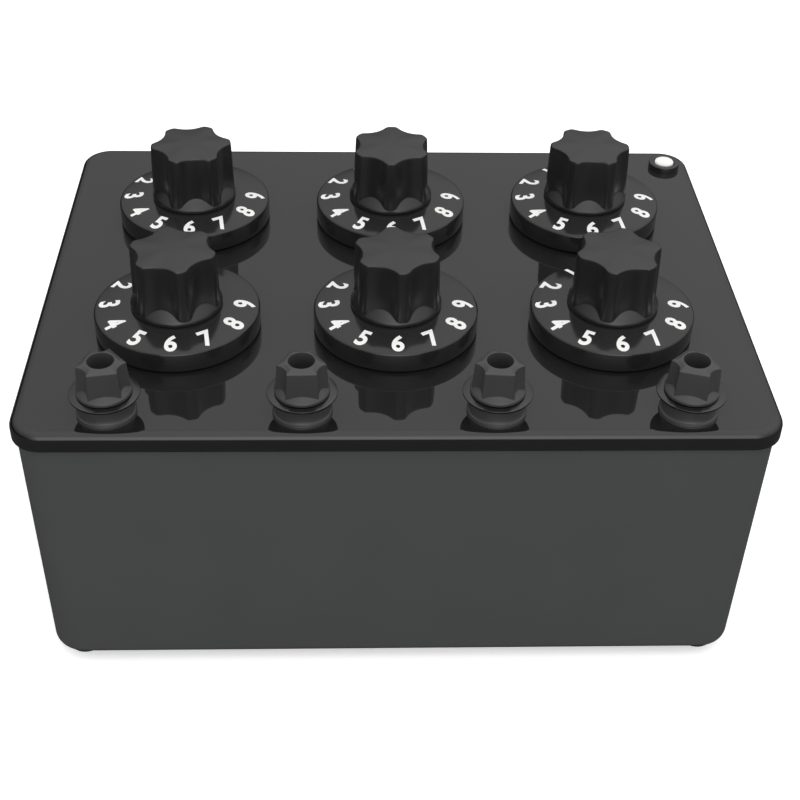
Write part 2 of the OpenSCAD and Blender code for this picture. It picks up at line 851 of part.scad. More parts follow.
module knob(i) {
    foot_top_z = seat_z + knob_flange_h + knob_foot_h;
    lobe_z = seat_z + knob_flange_h / 2;
    color([0.07, 0.07, 0.07])
        at_switch(i)
            rotate([0, 0, knob_turns[i - 1]])
                difference() {
                    union() {
                        difference() {
                            rotate_extrude()
                                polygon(concat(
                                    [[0, lobe_z], [knob_lobe_r, lobe_z]],
                                    edge(knob_r - knob_edge_r, crown_z - knob_edge_r, knob_edge_r,
                                         0, crown_sweep),
                                    [[0, crown_z + knob_crown]]
                                ));
                            flutes(knob_flutes, knob_r, knob_lobe_r, knob_flute_depth, knob_flute_span,
                                   seat_z, crown_z + knob_crown);
                        }
                        rotate_extrude()
                            polygon([
                                [0, neck_z], [neck_r, neck_z], [neck_r, seat_z], [knob_flange_r, seat_z],
                                [knob_flange_r, seat_z + knob_flange_h],
                                [knob_r - knob_flute_depth, foot_top_z], [0, foot_top_z]
                            ]);
                    }
                    translate([0, 0, neck_z - over])
                        cylinder(r = shaft_r + running_gap, h = shaft_top_z - neck_z + over);
                    rotate([0, 0, 90 - 180 / knob_flutes])
                        translate([0, 0, set_screw_z])
                            rotate([0, 90, 0])
                                cylinder(r = set_screw_r + hole_gap / 2, h = knob_r + over);
                }
}

module knob_screw(i) {
    socket_r = set_screw_r * set_socket_share;
    color([0.5, 0.5, 0.52])
        at_switch(i)
            rotate([0, 0, knob_turns[i - 1] + 90 - 180 / knob_flutes])
                translate([shaft_r - flat_depth + hole_gap / 2, 0, set_screw_z])
                    rotate([0, 90, 0])
                        difference() {
                            cylinder(r = set_screw_r, h = set_screw_l);
                            translate([0, 0, set_screw_l - set_screw_r])
                                cylinder(r = socket_r, h = set_screw_r + over, $fn = hex_sides);
                        }
}

module dial(i) {
    inner_r = dial_r - dial_wall;
    bore_r = neck_r + hole_gap / 2;
    color([0.08, 0.08, 0.08])
        at_switch(i)
            rotate_extrude()
                polygon(concat(
                    [[bore_r, dial_hollow_z], [inner_r, dial_hollow_z], [inner_r, dial_z],
                     [dial_r - dial_edge_r, dial_z], [dial_r, dial_z + dial_edge_r]],
                    edge(dial_r - dial_edge_r, dial_rim_z - dial_edge_r, dial_edge_r, 0, edge_sweep),
                    [[dial_seat_r, seat_z], [bore_r, seat_z]]
                ));
}

module shaft(i) {
    color([0.78, 0.78, 0.8])
        at_switch(i)
            difference() {
                union() {
                    translate([0, 0, shaft_bottom_z])
                        cylinder(r = shaft_r, h = shaft_top_z - hole_gap - shaft_bottom_z);
                    difference() {
                        translate([0, 0, detent_top_z - detent_t]) cylinder(r = detent_r, h = detent_t);
                        for (k = [0:notches - 1])
                            rotate([0, 0, 90 + k * step_angle])
                                translate([detent_r + notch_r / 2, 0, detent_top_z - detent_t - over])
                                    cylinder(r = notch_r, h = detent_t + 2 * over, $fn = small_fn);
                    }
                }
                rotate([0, 0, knob_turns[i - 1] + 90 - 180 / knob_flutes])
                    translate([shaft_r - flat_depth, -shaft_r, set_screw_z - set_screw_l / 2])
                        cube([shaft_r, 2 * shaft_r, crown_z - set_screw_z]);
            }
}

module wiper(i) {
    color([0.3, 0.22, 0.15])
        at_switch(i)
            difference() {
                union() {
                    translate([0, 0, blade_z + blade_t / 2]) cylinder(r = hub_r, h = hub_h);
                    translate([-blade_w / 2, -collector_r, blade_z])
                        cube([blade_w, collector_r + contact_ring_r, blade_t]);
                    translate([0, contact_ring_r, blade_z])
                        cylinder(r = blade_w / 2, h = blade_t, $fn = hull_fn);
                }
                translate([0, 0, blade_z - over])
                    cylinder(r = shaft_r + running_gap, h = hub_h + blade_t + 2 * over);
            }
}

case();
panel();
feet();
case_screws();
panel_pillars();
seal_cup();
seal_screw();
seal_compound();
post_collars();
post_backings();
post_studs();
post_nuts();
post_lugs();
switch_frames();
switch_nuts();
switch_decks();
contact_studs();
resistors();
detent_springs();
link_wires();
for (i = [1:switches]) {
    knob(i);
    dial(i);
    shaft(i);
    wiper(i);
    knob_screw(i);
}
for (i = [1:posts]) {
    post_cap(i);
    clamp_washer(i);
}
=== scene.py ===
"""Looks of a decade resistance box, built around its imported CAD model.

The CAD nodes keep their place. The moulded and turned pieces that show are modelled here
again with smooth edges, and every piece and node gets the finish of its real material.
"""

import logging
import math
from dataclasses import dataclass, replace
from enum import Enum
from typing import Callable

import bmesh
import bpy
from mathutils import Matrix, Vector


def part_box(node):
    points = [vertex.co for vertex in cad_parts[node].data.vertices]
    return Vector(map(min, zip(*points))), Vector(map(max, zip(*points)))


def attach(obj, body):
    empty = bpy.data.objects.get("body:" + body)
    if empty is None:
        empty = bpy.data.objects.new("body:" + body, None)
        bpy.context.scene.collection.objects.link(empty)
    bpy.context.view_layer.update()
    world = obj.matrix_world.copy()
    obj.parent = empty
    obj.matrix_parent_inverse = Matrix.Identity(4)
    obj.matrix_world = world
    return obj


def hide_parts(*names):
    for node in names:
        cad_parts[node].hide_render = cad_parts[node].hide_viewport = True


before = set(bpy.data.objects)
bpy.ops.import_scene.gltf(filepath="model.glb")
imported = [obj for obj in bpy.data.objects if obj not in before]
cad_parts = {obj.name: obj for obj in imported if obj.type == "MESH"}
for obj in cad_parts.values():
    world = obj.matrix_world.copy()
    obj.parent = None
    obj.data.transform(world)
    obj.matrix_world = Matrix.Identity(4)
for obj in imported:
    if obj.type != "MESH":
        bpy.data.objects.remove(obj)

LOG = logging.getLogger("resistance_box")
MM = 0.001
POSTS = (1, 2, 3, 4)
SWITCHES = (1, 2, 3, 4, 5, 6)
# Points closer than this are one
MERGE = 0.002 * MM
# Faces within this of a height count as lying at it
NEAR = 0.1 * MM
# Least upright part of the normal of a level face
LEVEL = 0.9
# Height of a digit in Blender's own font, as a share of the font's size
FONT_DIGIT_SHARE = 0.7
# Size of the clouds in which colour and gloss vary, in millimetres, and their octaves of noise
CLOUD_SIZE = 18.0
CLOUD_DETAIL = 3.0
# Octaves of noise in slow waves and in a grain
SWELL_DETAIL = 1.0
GRAIN_DETAIL = 4.0
# How much finer fibres are across than along
FIBRE_STRETCH = 6.0
# Scale of a wave texture whose period is one
WAVE_SCALE = math.tau / 20


# Finishes


def linear(hex_code: str) -> tuple[float, float, float, float]:
    """Turns an sRGB hex colour into linear light.

    Args:
        hex_code: Six hex digits.

    Returns:
        Red, green, blue and an alpha of one.
    """
    channels = [int(hex_code[k:k + 2], 16) / 255 for k in (0, 2, 4)]
    lit = [c / 12.92 if c <= 0.04045 else ((c + 0.055) / 1.055) ** 2.4 for c in channels]
    return lit[0], lit[1], lit[2], 1.0


def add_node(tree: bpy.types.NodeTree, kind: str, values: dict | None = None,
             links: dict | None = None, **settings: object) -> bpy.types.Node:
    """Adds one shader node with its settings and links.

    Args:
        tree: Node tree of the material.
        kind: Blender's name for the node type.
        values: Input sockets and the constants set on them.
        links: Input sockets and the output sockets that feed them.
        settings: Properties of the node itself.

    Returns:
        The new node.
    """
    node = tree.nodes.new(kind)
    for name, value in settings.items():
        setattr(node, name, value)
    for name, value in (values or {}).items():
        node.inputs[name].default_value = value
    for name, socket in (links or {}).items():
        tree.links.new(socket, node.inputs[name])
    return node


class Pattern(Enum):
    """Fine pattern that making leaves on a surface."""

    GRAIN = "even grain of a moulding"
    SWELL = "slow waves under a polish"
    FIBRES = "fibres of pressed board"
    WINDING = "turns of wire round a bobbin"


@dataclass(frozen=True)
class Finish:
    """One material, from its colour, gloss and fine pattern.

    Attributes:
        name: Common name of the material and how its surface was made.
        tone: Main colour, as sRGB hex.
        mottle: Colour that the main one varies towards, as sRGB hex.
        roughness: Middle roughness.
        spread: How far the roughness varies to either side.
        pattern: Kind of fine pattern.
        pitch: Size of the pattern in millimetres.
        depth: Height of the pattern in millimetres.
        metallic: One for bare metal, else zero.
        ior: Index of refraction of a plastic, or None for a metal.
    """

    name: str
    tone: str
    mottle: str
    roughness: float
    spread: float
    pattern: Pattern
    pitch: float
    depth: float
    metallic: float = 0.0
    ior: float | None = None

    def relief(self, tree: bpy.types.NodeTree, place: bpy.types.NodeSocket) -> bpy.types.NodeSocket:
        """Builds the height of the fine pattern.

        Args:
            tree: Node tree of the material.
            place: Object coordinates, in metres.

        Returns:
            The height, from zero to one.
        """
        scale = 1 / (self.pitch * MM)
        if self.pattern is Pattern.WINDING:
            wave = add_node(tree, "ShaderNodeTexWave", {"Scale": scale * WAVE_SCALE}, {"Vector": place},
                            wave_type="BANDS", bands_direction="Z")
            return wave.outputs["Fac"]
        stretch = (1, FIBRE_STRETCH, 1) if self.pattern is Pattern.FIBRES else (1, 1, 1)
        turned = add_node(tree, "ShaderNodeMapping", {"Scale": stretch}, {"Vector": place})
        detail = SWELL_DETAIL if self.pattern is Pattern.SWELL else GRAIN_DETAIL
        noise = add_node(tree, "ShaderNodeTexNoise", {"Scale": scale, "Detail": detail},
                         {"Vector": turned.outputs[0]})
        return noise.outputs["Fac"]

    def make(self) -> bpy.types.Material:
        """Returns the material, made on first use."""
        if self.name in bpy.data.materials:
            return bpy.data.materials[self.name]
        material = bpy.data.materials.new(self.name)
        material.use_nodes = True
        tree = material.node_tree
        shader = tree.nodes["Principled BSDF"]
        place = add_node(tree, "ShaderNodeTexCoord").outputs["Object"]
        cloud = add_node(tree, "ShaderNodeTexNoise",
                         {"Scale": 1 / (CLOUD_SIZE * MM), "Detail": CLOUD_DETAIL}, {"Vector": place})
        colour = add_node(tree, "ShaderNodeMix", {6: linear(self.tone), 7: linear(self.mottle)},
                          {0: cloud.outputs["Fac"]}, data_type="RGBA")
        gloss = add_node(tree, "ShaderNodeMapRange",
                         {"To Min": self.roughness - self.spread, "To Max": self.roughness + self.spread},
                         {"Value": cloud.outputs["Fac"]})
        bump = add_node(tree, "ShaderNodeBump", {"Distance": self.depth * MM},
                        {"Height": self.relief(tree, place)})
        tree.links.new(colour.outputs[2], shader.inputs["Base Color"])
        tree.links.new(gloss.outputs[0], shader.inputs["Roughness"])
        tree.links.new(bump.outputs[0], shader.inputs["Normal"])
        shader.inputs["Metallic"].default_value = self.metallic
        if self.ior:
            shader.inputs["IOR"].default_value = self.ior
        return material


# Phenolic pressed in a polished mould: a charcoal mirror with slow waves in it
PANEL_PHENOLIC = Finish("phenolic_polished", "1D1D1D", "212121", 0.03, 0.015, Pattern.SWELL, 22, 0.015,
                        ior=1.55)
# Phenolic from a sand-blasted mould: dark grey, with a fine even grain that spreads the light
CASE_PHENOLIC = Finish("phenolic_blasted", "4A4B4B", "4E4F4F", 0.5, 0.05, Pattern.GRAIN, 0.7, 0.01, ior=1.5)
# Phenolic handled for years: satin black, on the knobs and the cup of the seal
KNOB_PHENOLIC = Finish("phenolic_satin", "1A1A1B", "1E1E1F", 0.34, 0.05, Pattern.GRAIN, 0.9, 0.004, ior=1.6)
# Phenolic of the dials: a soft gloss, between that of the panel and the knobs
DIAL_PHENOLIC = Finish("phenolic_bright", "1E1E1F", "262627", 0.14, 0.04, Pattern.SWELL, 9, 0.01, ior=1.5)
# Phenolic worn dull by many hands: a greyer black, on the post caps and collars
CAP_PHENOLIC = Finish("phenolic_worn", "353535", "3F3F3F", 0.42, 0.08, Pattern.GRAIN, 1.1, 0.006, ior=1.55)
# Enamel wiped into the engraved digits: white and a little uneven
DIGIT_ENAMEL = Finish("enamel_white", "FDFDFB", "F6F6F3", 0.5, 0.1, Pattern.GRAIN, 0.5, 0.01, ior=1.5)
# Set sealing compound: dull white with a slightly lumpy skin
SEAL_COMPOUND = Finish("compound_white", "FDFDFB", "F6F6F2", 0.6, 0.1, Pattern.GRAIN, 1.6, 0.08, ior=1.5)
# Moulded rubber of the feet: black and dull
FOOT_RUBBER = Finish("rubber_black", "161616", "1E1E1E", 0.75, 0.08, Pattern.GRAIN, 0.6, 0.03, ior=1.52)
# Nickel plating gone dark with age, on the clamp washers. On the studs the same dark tone is painted shade,
# which keeps the deep mouth of each cap dark
AGED_NICKEL_AND_MOUTH_SHADE = Finish("nickel_aged_and_mouth_shade", "565656", "4E4E4E", 0.22, 0.05, Pattern.GRAIN, 0.5, 0.003,
                    metallic=1.0)
# Brass turned and nickel plated: warm grey
NICKEL = Finish("brass_nickelled", "B5AFA2", "A29C90", 0.24, 0.06, Pattern.GRAIN, 0.4, 0.003, metallic=1.0)
# Bare turned brass of the pillars and contacts
BRASS = Finish("brass_turned", "C9A563", "B48F4E", 0.3, 0.08, Pattern.GRAIN, 0.4, 0.004, metallic=1.0)
# Phosphor bronze strip of the wipers
BRONZE = Finish("bronze_rolled", "BB8657", "A67247", 0.32, 0.06, Pattern.GRAIN, 0.5, 0.003, metallic=1.0)
# Steel with bright zinc plating
STEEL = Finish("steel_zinced", "A9ACB0", "95989C", 0.35, 0.08, Pattern.GRAIN, 0.6, 0.004, metallic=1.0)
# Phenolic paper board of the switch decks, with its fibres
DECK_BOARD = Finish("board_phenolic", "5E3A1C", "744A26", 0.45, 0.08, Pattern.FIBRES, 0.8, 0.01, ior=1.55)
# Enamelled resistance wire wound on the bobbins, turn beside turn
WINDING = Finish("wire_enamelled", "6B2A16", "7E3620", 0.3, 0.05, Pattern.WINDING, 0.3, 0.05, ior=1.55)

NODE_FINISHES = {
    "case": CASE_PHENOLIC, "panel": PANEL_PHENOLIC, "feet": FOOT_RUBBER, "case_screws": STEEL,
    "panel_pillars": BRASS, "seal_cup": KNOB_PHENOLIC, "seal_screw": STEEL, "seal_compound": SEAL_COMPOUND,
    # The studs take the dark nickel as painted shade for the deep mouth of each cap
    "post_collars": CAP_PHENOLIC, "post_backings": KNOB_PHENOLIC, "post_studs": AGED_NICKEL_AND_MOUTH_SHADE,
    "post_nuts": NICKEL, "post_lugs": NICKEL,
    "switch_frames": STEEL, "switch_nuts": STEEL, "switch_decks": DECK_BOARD,
    "contact_studs": BRASS, "resistors": WINDING, "detent_springs": STEEL, "link_wires": NICKEL,
    "knob": KNOB_PHENOLIC, "dial": DIAL_PHENOLIC, "shaft": STEEL, "wiper": BRONZE, "knob_screw": STEEL,
    "post_cap": CAP_PHENOLIC, "clamp_washer": AGED_NICKEL_AND_MOUTH_SHADE,
}


# Work at the bench


def put_down() -> None:
    """Leaves edit mode and deselects everything."""
    if bpy.context.object and bpy.context.object.mode != "OBJECT":
        bpy.ops.object.mode_set(mode="OBJECT")
    bpy.ops.object.select_all(action="DESELECT")


def take_up(piece: bpy.types.Object) -> None:
    """Makes piece the only selected and active object."""
    put_down()
    piece.select_set(True)
    bpy.context.view_layer.objects.active = piece


def apply_modifier(piece: bpy.types.Object, kind: str, **settings: object) -> None:
    """Adds a modifier to a piece and applies it.

    Args:
        piece: The mesh to finish.
        kind: Blender's name for the modifier type.
        settings: Properties of the modifier.
    """
    take_up(piece)
    modifier = piece.modifiers.new("shape", kind)
    for name, value in settings.items():
        setattr(modifier, name, value)
    bpy.ops.object.modifier_apply(modifier=modifier.name)


def finish_piece(piece: bpy.types.Object, body: str, finish: Finish, slot: str, *nodes: str) -> None:
    """Settles a finished mesh in the frame and dresses it.

    Args:
        piece: The mesh, in place.
        body: CAD body that it moves with.
        finish: Its material.
        slot: Name of a slot for that material; not used.
        nodes: CAD nodes that it stands for.
    """
    take_up(piece)
    bpy.ops.object.transform_apply(location=True, rotation=True, scale=True)
    piece.data.materials.clear()
    piece.data.materials.append(finish.make())
    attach(piece, body)
    if nodes:
        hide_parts(*nodes)
    LOG.info("%s rides on %s", piece.name, body)


def smooth(piece: bpy.types.Object, degrees: float = 32.0) -> None:
    """Shades a piece smooth except across edges sharper than so many degrees."""
    take_up(piece)
    bpy.ops.object.shade_smooth_by_angle(angle=math.radians(degrees))


def middle(node: str) -> Vector:
    """Returns the middle of a CAD node's box."""
    low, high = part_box(node)
    return (low + high) / 2


@dataclass
class Turning:
    """A piece built ring by ring round the Z axis, as a turner works along a profile.

    Attributes:
        name: Name of the piece.
        sides: Points in each ring.
        at: Radius and height of the last ring.
    """

    name: str
    sides: int
    at: tuple[float, float] = (0.0, 0.0)

    def start(self, radius: float, height: float) -> bpy.types.Object:
        """Lays the first ring, and stays in edit mode.

        Args:
            radius: Radius of the ring in metres.
            height: Its height in metres.

        Returns:
            The new piece.
        """
        put_down()
        bpy.ops.mesh.primitive_circle_add(vertices=self.sides, radius=radius, fill_type="NOTHING")
        piece = bpy.context.object
        piece.name = piece.data.name = self.name
        bpy.ops.object.mode_set(mode="EDIT")
        bpy.ops.mesh.select_all(action="SELECT")
        bpy.ops.transform.translate(value=(0, 0, height))
        self.at = (radius, height)
        return piece

    def ring(self, radius: float, height: float) -> None:
        """Draws the last ring out to a new one of that radius and height."""
        grow = radius / self.at[0]
        bpy.ops.mesh.extrude_edges_move(
            TRANSFORM_OT_translate={"value": (0, 0, height - self.at[1])})
        bpy.ops.transform.resize(value=(grow, grow, 1), center_override=(0, 0, height))
        self.at = (radius, height)

    def profile(self, points: list[tuple[float, float]], closed: bool) -> bpy.types.Object:
        """Turns a whole profile.

        Args:
            points: Radius and height of each ring in metres.
            closed: Whether the last ring meets the first, as on a bored piece. Else both
                ends are filled.

        Returns:
            The piece, in object mode.
        """
        piece = self.start(*points[0])
        for point in points[1:] + (points[:1] if closed else []):
            self.ring(*point)
        close_ends(closed, self.sides)
        return piece


def close_ends(closed: bool, sides: int) -> None:
    """Joins or fills the ends of the piece in edit mode and turns its faces outwards.

    Args:
        closed: Whether the last ring lies on the first and is joined to it.
        sides: Points in each ring.
    """
    bpy.ops.mesh.select_all(action="SELECT")
    if closed:
        bpy.ops.mesh.remove_doubles(threshold=MERGE)
    else:
        bpy.ops.mesh.fill_holes(sides=sides)
    bpy.ops.mesh.select_all(action="SELECT")
    bpy.ops.mesh.normals_make_consistent(inside=False)
    bpy.ops.object.mode_set(mode="OBJECT")


def copy_to(piece: bpy.types.Object, name: str, place: Vector, turn: float = 0.0) -> bpy.types.Object:
    """Copies a piece that was modelled round the Z axis to its place.

    Args:
        piece: The piece to copy.
        name: Name of the copy.
        place: Its axis, of which only X and Y are used.
        turn: How far it is turned, in degrees.

    Returns:
        The copy, with its own mesh.
    """
    twin = piece.copy()
    twin.data = piece.data.copy()
    twin.name = twin.data.name = name
    bpy.context.collection.objects.link(twin)
    twin.data.transform(Matrix.Translation((place.x, place.y, 0))
                        @ Matrix.Rotation(math.radians(turn), 4, "Z"))
    return twin


def join(pieces: list[bpy.types.Object]) -> bpy.types.Object:
    """Joins pieces into the first of them, and returns it."""
    take_up(pieces[0])
    for piece in pieces:
        piece.select_set(True)
    bpy.ops.object.join()
    return pieces[0]


def discard(piece: bpy.types.Object) -> None:
    """Removes a piece that was only there to be copied."""
    bpy.data.objects.remove(piece)


# Case and panel


@dataclass
class Case:
    """The moulded tub, with drafted walls and rounded edges, and the panel that closes it.

    Attributes:
        wall: Thickness of the walls.
        draft: How far a wall leans in from rim to floor.
        corner: Radius of the upright corners.
        fillet: Radius of the bottom edge.
        panel_corner: Radius of the panel's corners.
        panel_edge: Radius of the panel's top edge.
        lip: Height and thickness of the lip inside the case.
        lip_inset: Distance from the panel's side to the lip.
        corner_steps: Faces round an upright corner.
        fillet_steps: Faces round the bottom edge.
        panel_steps: Faces round the panel's top edge.
    """

    wall: float = 2.8 * MM
    draft: float = 1.1 * MM
    corner: float = 11.0 * MM
    fillet: float = 3.0 * MM
    panel_corner: float = 10.0 * MM
    panel_edge: float = 2.5 * MM
    lip: tuple[float, float] = (3.0 * MM, 1.2 * MM)
    lip_inset: float = 4.1 * MM
    corner_steps: int = 12
    fillet_steps: int = 6
    panel_steps: int = 8

    def block(self, name: str, low: Vector, high: Vector, corner: float) -> bpy.types.Object:
        """Makes a block with rounded upright corners.

        Args:
            name: Name of the piece.
            low: Lowest corner.
            high: Highest corner.
            corner: Radius of the upright corners.

        Returns:
            The block, in edit mode.
        """
        put_down()
        bpy.ops.mesh.primitive_cube_add(size=1, location=(low + high) / 2, scale=high - low)
        block = bpy.context.object
        block.name = block.data.name = name
        bpy.ops.object.transform_apply(location=True, rotation=True, scale=True)
        bpy.ops.object.mode_set(mode="EDIT")
        self.select_edges(block, lambda a, b: (a.xy - b.xy).length < corner)
        bpy.ops.mesh.bevel(offset=corner, segments=self.corner_steps)
        return block

    @staticmethod
    def select_edges(piece: bpy.types.Object, test: Callable[[Vector, Vector], bool]) -> None:
        """Selects the edges whose two ends pass a test."""
        bpy.ops.mesh.select_all(action="DESELECT")
        bpy.ops.mesh.select_mode(type="EDGE")
        mesh = bmesh.from_edit_mesh(piece.data)
        for edge in mesh.edges:
            edge.select_set(test(edge.verts[0].co, edge.verts[1].co))
        bmesh.update_edit_mesh(piece.data)

    @staticmethod
    def select_face(piece: bpy.types.Object, height: float) -> None:
        """Selects the level face at a height."""
        bpy.ops.mesh.select_all(action="DESELECT")
        bpy.ops.mesh.select_mode(type="FACE")
        mesh = bmesh.from_edit_mesh(piece.data)
        for face in mesh.faces:
            level = abs(face.normal.z) > LEVEL
            face.select_set(level and abs(face.calc_center_median().z - height) < NEAR)
        bmesh.update_edit_mesh(piece.data)

    def build_case(self) -> None:
        """Models the tub. The holes in its floor are left out, because nothing shows them."""
        low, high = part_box("case")
        size = high - low
        tub = self.block("case_shell", low, high, self.corner)
        self.select_face(tub, low.z)
        bpy.ops.transform.resize(value=(1 - 2 * self.draft / size.x, 1 - 2 * self.draft / size.y, 1),
                                 center_override=(0, 0, low.z))
        self.select_edges(tub, lambda a, b: max(a.z, b.z) < low.z + self.fillet / 2)
        bpy.ops.mesh.bevel(offset=self.fillet, segments=self.fillet_steps)
        self.select_face(tub, high.z)
        bpy.ops.mesh.delete(type="ONLY_FACE")
        bpy.ops.object.mode_set(mode="OBJECT")
        apply_modifier(tub, "SOLIDIFY", thickness=self.wall, offset=-1)
        smooth(tub)
        apply_modifier(tub, "WEIGHTED_NORMAL", keep_sharp=True)
        finish_piece(tub, "root", CASE_PHENOLIC, "case_plastic", "case")

    def build_panel(self) -> None:
        """Models the panel with its lip. Its holes are left out, because nothing shows them."""
        low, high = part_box("panel")
        under = low.z + self.lip[0]
        plate = self.block("panel_plate", Vector((low.x, low.y, under)), high, self.panel_corner)
        self.select_edges(plate, lambda a, b: min(a.z, b.z) > high.z - self.panel_edge / 2)
        bpy.ops.mesh.bevel(offset=self.panel_edge, segments=self.panel_steps)
        # A narrow band inside the edge keeps the shading of the top flat
        self.select_face(plate, high.z)
        bpy.ops.mesh.inset(thickness=self.panel_edge / 4)
        self.select_face(plate, under)
        bpy.ops.mesh.inset(thickness=self.lip_inset)
        bpy.ops.mesh.extrude_region_move(TRANSFORM_OT_translate={"value": (0, 0, -self.lip[0])})
        bpy.ops.mesh.inset(thickness=self.lip[1])
        bpy.ops.mesh.extrude_region_move(TRANSFORM_OT_translate={"value": (0, 0, self.lip[0])})
        bpy.ops.object.mode_set(mode="OBJECT")
        smooth(plate)
        apply_modifier(plate, "WEIGHTED_NORMAL", keep_sharp=True)
        finish_piece(plate, "root", PANEL_PHENOLIC, "panel_gloss", "panel")


# Dials


@dataclass
class Dial:
    """A skirted dial with ten filled digits on its sloping face.

    Attributes:
        rim: Height of the upright rim.
        seat: Radius of the flat seat under the knob.
        wall: Thickness of the skirt.
        hollow: Height of the hollow underneath.
        bore: Radius of the hole for the knob's neck.
        edge: Radius of the rim's edge.
        sharp: Angle past which an edge is rounded, in degrees.
        sides: Points in each ring.
        face_steps: Rings on the sloping face.
        bulge: How far the face rises above a straight slope, halfway out.
        digit_ring: Radius of the middle of the digits.
        digit_height: Height of a digit, before its stroke is made bolder.
        digit_bold: How much bolder.
        digit_width: Width of a digit, as a share of the font's own.
        cuts: Cuts across a digit, which let it follow the face.
        curve_steps: Points along each curve of a digit.
        step: Angle from one digit to the next, in degrees.
        relief: How far the enamel stands out of the face.
    """

    rim: float = 6.7 * MM
    seat: float = 15.0 * MM
    wall: float = 3.4 * MM
    hollow: float = 4.6 * MM
    bore: float = 6.95 * MM
    edge: float = 0.7 * MM
    sharp: float = 50.0
    sides: int = 144
    face_steps: int = 14
    bulge: float = 0.33 * MM
    digit_ring: float = 21.3 * MM
    digit_height: float = 6.3 * MM
    digit_bold: float = 0.28 * MM
    digit_width: float = 0.9
    cuts: int = 6
    curve_steps: int = 5
    step: float = 30.0
    relief: float = 0.03 * MM

    def __post_init__(self) -> None:
        """Takes the dial's radius and heights from the CAD node."""
        low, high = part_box("dial_1")
        self.radius = (high.x - low.x) / 2
        self.foot_z = low.z
        self.rim_z = low.z + self.rim
        self.seat_z = high.z

    def model(self) -> bpy.types.Object:
        """Turns one dial round the Z axis, at its real height."""
        inner = self.radius - self.wall
        steps = self.face_steps
        face = [self.radius + (self.seat - self.radius) * k / steps for k in range(steps + 1)]
        points = [(self.bore, self.foot_z + self.hollow), (inner, self.foot_z + self.hollow),
                  (inner, self.foot_z), (self.radius, self.foot_z)]
        points += [(r, self.face_height(r)) for r in face]
        points += [(self.bore, self.seat_z)]
        dial = Turning("dial_pattern", self.sides).profile(points, closed=True)
        apply_modifier(dial, "BEVEL", width=self.edge, segments=3, limit_method="ANGLE",
                       angle_limit=math.radians(self.sharp))
        smooth(dial, 40)
        return dial

    def face_height(self, radius: float) -> float:
        """Returns the height of the sloping face at a radius, from its seat to its rim."""
        out = (radius - self.seat) / (self.radius - self.seat)
        return self.seat_z + (self.rim_z - self.seat_z) * out + 4 * self.bulge * out * (1 - out)

    def digit(self, value: int) -> bpy.types.Object:
        """Models one digit on the dial's face, its top towards the knob.

        Args:
            value: The digit.

        Returns:
            The digit, modelled round the Z axis.
        """
        put_down()
        bpy.ops.object.text_add()
        text = bpy.context.object
        # The nine is the six turned round
        text.data.body = "6" if value == 9 else str(value)
        text.data.align_x = "CENTER"
        text.data.align_y = "CENTER"
        text.data.size = self.digit_height / FONT_DIGIT_SHARE
        text.data.offset = self.digit_bold
        text.data.extrude = self.relief
        text.data.resolution_u = self.curve_steps
        bpy.ops.object.convert(target="MESH")
        digit = bpy.context.object
        digit.name = f"digit_{value}"
        self.cut_across(digit)
        corners = [Vector(c) for c in digit.bound_box]
        centre = sum(corners, Vector()) / len(corners)
        # Zero stands at the back, and the digits rise counter-clockwise seen from above
        turn = Matrix.Rotation(math.radians(value * self.step), 4, "Z")
        flip = Matrix.Rotation(0 if value == 9 else math.pi, 4, "Z")
        narrow = Matrix.Diagonal((self.digit_width, 1, 1, 1))
        digit.data.transform(turn @ Matrix.Translation((0, self.digit_ring, 0)) @ flip @ narrow
                             @ Matrix.Translation(-centre))
        for vert in digit.data.vertices:
            vert.co.z += self.face_height(math.hypot(vert.co.x, vert.co.y))
        return digit

    def cut_across(self, digit: bpy.types.Object) -> None:
        """Closes the seams of a digit and cuts it across, so that it can bend with the face."""
        take_up(digit)
        bpy.ops.object.mode_set(mode="EDIT")
        bpy.ops.mesh.select_all(action="SELECT")
        bpy.ops.mesh.remove_doubles(threshold=MERGE)
        for k in range(1, self.cuts + 1):
            height = self.digit_height * (k / (self.cuts + 1) - 0.5)
            bpy.ops.mesh.select_all(action="SELECT")
            bpy.ops.mesh.bisect(plane_co=(0, height, 0), plane_no=(0, 1, 0))
        bpy.ops.object.mode_set(mode="OBJECT")

    def build(self) -> None:
        """Models the dials and their digits, and copies them to the six switches."""
        pattern = self.model()
        digits = join([self.digit(value) for value in range(10)])
        for number in SWITCHES:
            place = middle(f"dial_{number}")
            dial = copy_to(pattern, f"dial_face_{number}", place)
            finish_piece(dial, f"switch_{number}", DIAL_PHENOLIC, "dial_plastic", f"dial_{number}")
            marks = copy_to(digits, f"dial_digits_{number}", place)
            finish_piece(marks, f"switch_{number}", DIGIT_ENAMEL, "seal_white")
        discard(pattern)
        discard(digits)


# Knobs and caps


